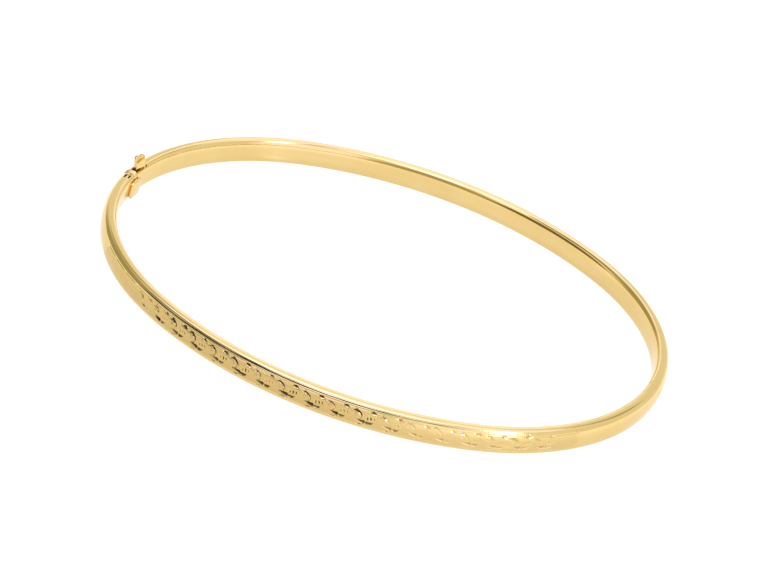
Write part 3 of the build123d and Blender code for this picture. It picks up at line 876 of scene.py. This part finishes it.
def guard_plate(material):
    """Soft-edged plate on the wrist side, which covers the seam."""
    shape = rounded_rectangle(GUARD_RUNS, GUARD_HEIGHTS, GUARD_CORNER)
    corners = [at_clasp(GUARD_DEPTH, run, height) for run, height in shape]
    mesh = prism("seam_guard", corners, (GUARD_THICKNESS * MM, 0, 0))
    piece = new_object("seam_guard", mesh, "front_half", material)
    bevel(piece, *GUARD_BEVEL)
    finish_piece(piece, "guard_plate")


ROOT_DEPTHS = (0.8, 1.08)
ROOT_RUNS = (-2.4, -0.95)
ROOT_LOW = MIDDLE - 1.0
ROOT_HEIGHT = 2.36
LEAF_THICKNESS = 0.18
LEAF_PATH = ((0.94, -2.4), (0.94, -0.95), (1.15, 0.0), (1.15, 4.2))    # as depth and run
LEAF_LOW = MIDDLE - 0.85
LEAF_HEIGHT = 1.8
LEAF_BEVEL = (0.045, 3)
FOLD_CENTRE = (1.045, 4.3)
FOLD_RADIUS = 0.105
FOLD_POINTS = 13


def tongue_base(material):
    """The fixed leaf of the spring: a root bar in the rim slot, a leaf behind it and a fold."""
    turn = np.linspace(0, pi, FOLD_POINTS)
    fold = FOLD_CENTRE + FOLD_RADIUS * np.stack([np.cos(turn), np.sin(turn)], -1)
    path = np.concatenate([LEAF_PATH, fold])
    heading = np.gradient(path, axis=0)
    heading /= np.linalg.norm(heading, axis=1)[:, None]
    sideways = np.stack([heading[:, 1], -heading[:, 0]], -1) * LEAF_THICKNESS / 2
    plan = np.concatenate([path + sideways, (path - sideways)[::-1]])
    corners = [at_clasp(depth, run, LEAF_LOW) for depth, run in plan]
    mesh = prism("fixed_leaf", corners, (0, 0, LEAF_HEIGHT * MM))
    piece = new_object("fixed_leaf", mesh, "front_half", material)
    corners = [at_clasp(depth, run, ROOT_LOW) for depth, run in box_corners(ROOT_DEPTHS, ROOT_RUNS)]
    merge(piece, prism("root_bar", corners, (0, 0, ROOT_HEIGHT * MM)))
    bevel(piece, *LEAF_BEVEL)
    finish_piece(piece, "tongue_base")


TAB_TURN = radians(17)
TAB_LEAN = radians(19)
TAB_BASE = Vector((-HALF_LENGTH + 1.14, 1.28, HEIGHT))
TAB_THICKNESS = 0.34
LOBE_RADIUS = 0.38
# How far along the plate each lobe is, and the angles between which its round edge shows
LOBES = ((0.42, 0.0, 0.78 * pi), (-0.34, 0.22 * pi, pi))
LOBE_POINTS = 12
TAB_RISE = 1.42               # above the rim
TAB_DROP = 0.08               # and below it
TAB_HALF_WIDTH = 0.83
TAB_FOOT = ((0.55, 1.95), (0.8, 1.1), (2.4, HEIGHT + 0.04))      # runs, depths and heights
TAB_BEVEL = (0.09, 4)


def thumb_tab(material):
    """Leaning plate with two rounded lobes, on a foot that reaches down to the leaf."""
    across = Vector((sin(TAB_TURN), cos(TAB_TURN), 0))
    flat = cos(TAB_LEAN)
    normal = Vector((cos(TAB_TURN) * flat, -sin(TAB_TURN) * flat, sin(TAB_LEAN)))
    upwards = normal.cross(across)
    profile = [(TAB_HALF_WIDTH, -TAB_DROP)]
    for offset, first, last in LOBES:
        for angle in np.linspace(first, last, LOBE_POINTS):
            rise = TAB_RISE - LOBE_RADIUS + LOBE_RADIUS * sin(angle)
            profile.append((offset + LOBE_RADIUS * cos(angle), rise))
    profile.append((-TAB_HALF_WIDTH, -TAB_DROP))
    back = TAB_BASE - normal * TAB_THICKNESS / 2
    corners = [(back + across * u + upwards * v) * MM for u, v in profile]
    mesh = prism("thumb_press", corners, normal * TAB_THICKNESS * MM)
    piece = new_object("thumb_press", mesh, "clasp_tongue", material)
    merge(piece, block_mesh(*TAB_FOOT, REAR))
    bevel(piece, *TAB_BEVEL)
    finish_piece(piece, "thumb_tab")


HINGE_END_LENGTH = 1.2
HINGE_END_STATIONS = 10
BARREL_RADIUS = RELIEF_RADIUS - 0.015
MIDDLE_BARREL = (MIDDLE - 0.45, MIDDLE + 0.45)
UPPER_BARREL = (MIDDLE + 0.47, CUTTER_HEIGHTS[1])
LOWER_BARREL = (CUTTER_HEIGHTS[0], MIDDLE - 0.47)


def hinge_end_mesh():
    """Both halves' hinge ends as one solid."""
    loop = whole_loop()[0]
    stations = np.linspace(HALF_RUN - HINGE_END_LENGTH, HALF_RUN, HINGE_END_STATIONS)
    runs = np.repeat(stations[:, None], len(loop), 1)
    depth = np.broadcast_to(loop[:, 0], runs.shape)
    height = np.broadcast_to(loop[:, 1], runs.shape)
    rear = place(runs, depth, height, REAR)
    front = place(runs[::-1], depth, height, FRONT)[1:]
    return swept_mesh("hinge_end", np.concatenate([rear, front]))


def knuckle(name, node, body, heights, material):
    """A knuckle, filed flush with the rim, crown and wrist face around it."""
    piece = new_object(name, barrel_mesh(BARREL_RADIUS, heights), body, material)
    shape_with(piece, hinge_end_mesh(), "INTERSECT")
    finish_piece(piece, node)


# ---------------------------------------------------------------- assembly

make_camera()
make_world()
make_floor()
for softbox in SOFTBOXES:
    add_softbox(*softbox)
set_view()

polished = gold_material("polished_gold")
engraved = gold_material("engraved_gold", satin=True)
spring = gold_material("spring_gold", roughness=0.12, wear=0.08)
hinge = gold_material("hinge_gold", roughness=0.08)

front_shell(engraved)
rear_shell(polished)
wrist_strip("front_wrist_strip", "front_liner", "front_half", FRONT, COLLAR_RUNS[1], polished)
wrist_strip("rear_wrist_strip", "rear_liner", "rear_half", REAR, SEAM / 2, polished)
collar(polished)
guard_plate(polished)
tongue_base(spring)
thumb_tab(polished)
knuckle("upper_barrel", "rear_knuckle_upper", "rear_half", UPPER_BARREL, hinge)
knuckle("middle_barrel", "front_knuckle", "front_half", MIDDLE_BARREL, hinge)
knuckle("lower_barrel", "rear_knuckle_lower", "rear_half", LOWER_BARREL, hinge)

MATERIAL_OF_SLOT = {
    "polished_gold": polished,
    "engraved_gold": engraved,
    "spring_gold": spring,
    "hinge_gold": hinge,
}
for subpart in frame["record"]["subparts"]:
    node = frame["nodes"].get(subpart["node"])
    for material_slot in node.material_slots:
        material_slot.material = MATERIAL_OF_SLOT[subpart["material_slot"]]
